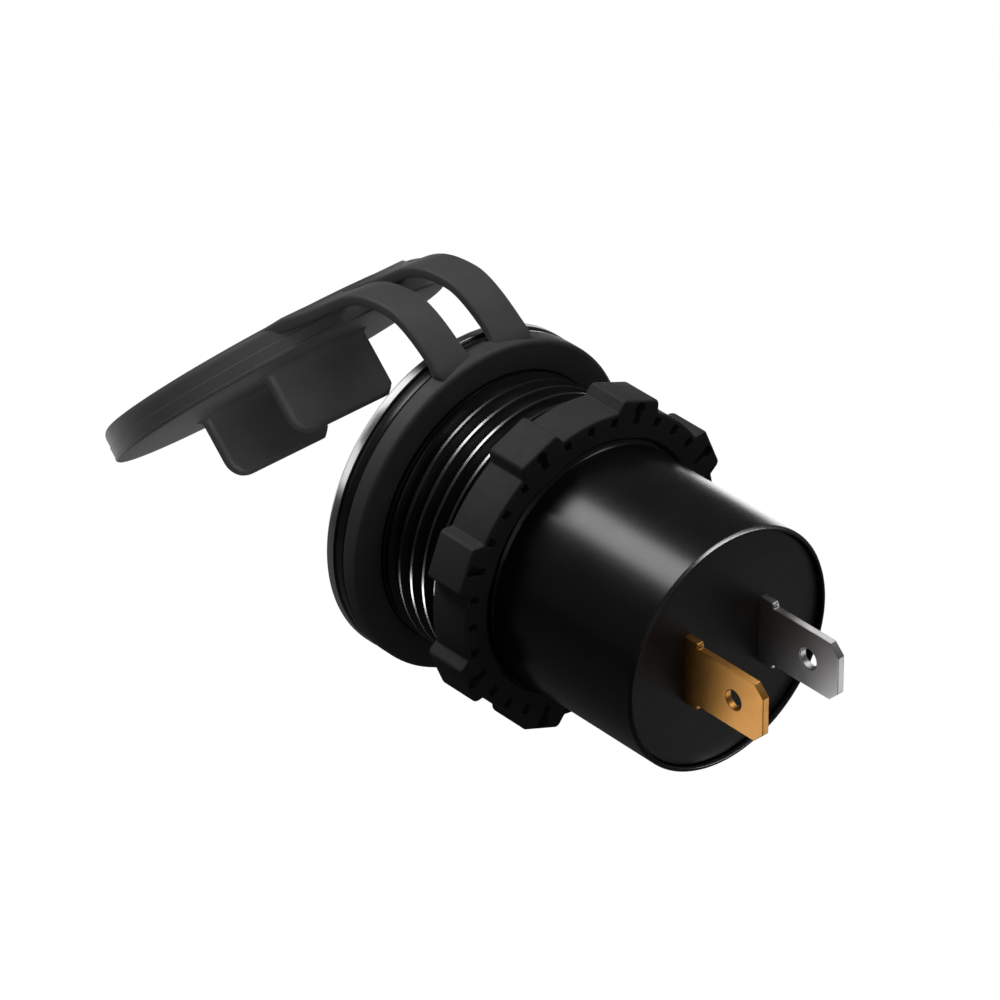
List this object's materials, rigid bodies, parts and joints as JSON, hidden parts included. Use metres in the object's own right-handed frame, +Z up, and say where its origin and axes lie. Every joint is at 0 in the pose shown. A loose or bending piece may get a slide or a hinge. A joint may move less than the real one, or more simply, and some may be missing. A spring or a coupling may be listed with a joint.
{
  "type": "dual usb car socket",
  "caption": "Round panel-mount charging socket with a flanged threaded barrel, lobed ring nut, blade terminals and a strapped rubber dust cover over its ports.",
  "frame": {"origin": "on the axis of the barrel, at the sealing face of the rubber ring that meets the front of the panel", "axes": "+Y along the barrel towards the terminals, the face looks towards -Y; +Z up, towards the straps of the dust cover; +X towards the positive terminal"},
  "size_m": [0.036, 0.0876, 0.0381],
  "materials": {
    "black_gloss": "polished moulded nylon",
    "polished_metal": "polished",
    "black_face": "fine texture",
    "steel_sheet": "nickel plated",
    "white_insulator": "satin",
    "gold_contact": "gold plated",
    "clear_plastic": "clear",
    "circuit_board": "solder mask",
    "black_component": "moulded",
    "ferrite": "sintered",
    "can_aluminium": "satin",
    "ceramic": "fired",
    "black_cap": "matte moulded",
    "brass_tab": "brushed brass",
    "tinned_tab": "tinned",
    "black_nut": "fine matte nylon",
    "black_rubber": "matte rubber"
  },
  "bodies": {
    "socket": {"housing": "black_gloss", "face_bezel": "polished_metal", "front_insert": "black_face", "upper_port_shell": "steel_sheet", "lower_port_shell": "steel_sheet", "upper_port_tongue": "white_insulator", "lower_port_tongue": "white_insulator", "upper_port_contacts": "gold_contact", "lower_port_contacts": "gold_contact", "light_pipe": "clear_plastic", "indicator_led": "clear_plastic", "port_board": "circuit_board", "power_board": "circuit_board", "board_link": "black_component", "inductor": "ferrite", "input_capacitor": "can_aluminium", "output_capacitor": "can_aluminium", "converter_chip": "black_component", "fuse": "ceramic", "end_cap": "black_cap", "positive_terminal": "brass_tab", "negative_terminal": "tinned_tab", "gasket_ring": "black_rubber"},
    "nut": {"mounting_nut": "black_nut"},
    "straps": {"cover_straps": "black_rubber"},
    "cover": {"dust_cover": "black_rubber"}
  },
  "joints": [
    {"name": "nut_turn", "type": "hinge", "parent": "socket", "child": "nut", "pos_m": [0, 0.0114, 0], "axis": [0, 1, 0], "continuous": true},
    {"name": "cover_lift", "type": "hinge", "parent": "socket", "child": "straps", "pos_m": [0, -0.001, 0.0172], "axis": [-1, 0, 0], "range_deg": [0, 95], "stiffness_Nm_per_rad": 0.02, "deforming": ["cover_straps"]},
    {"name": "cover_close", "type": "hinge", "parent": "straps", "child": "cover", "pos_m": [0, -0.01809, 0.03208], "axis": [-1, 0, 0], "range_deg": [-45.1, 10], "stiffness_Nm_per_rad": 0.02, "deforming": ["cover_straps"]}
  ]
}
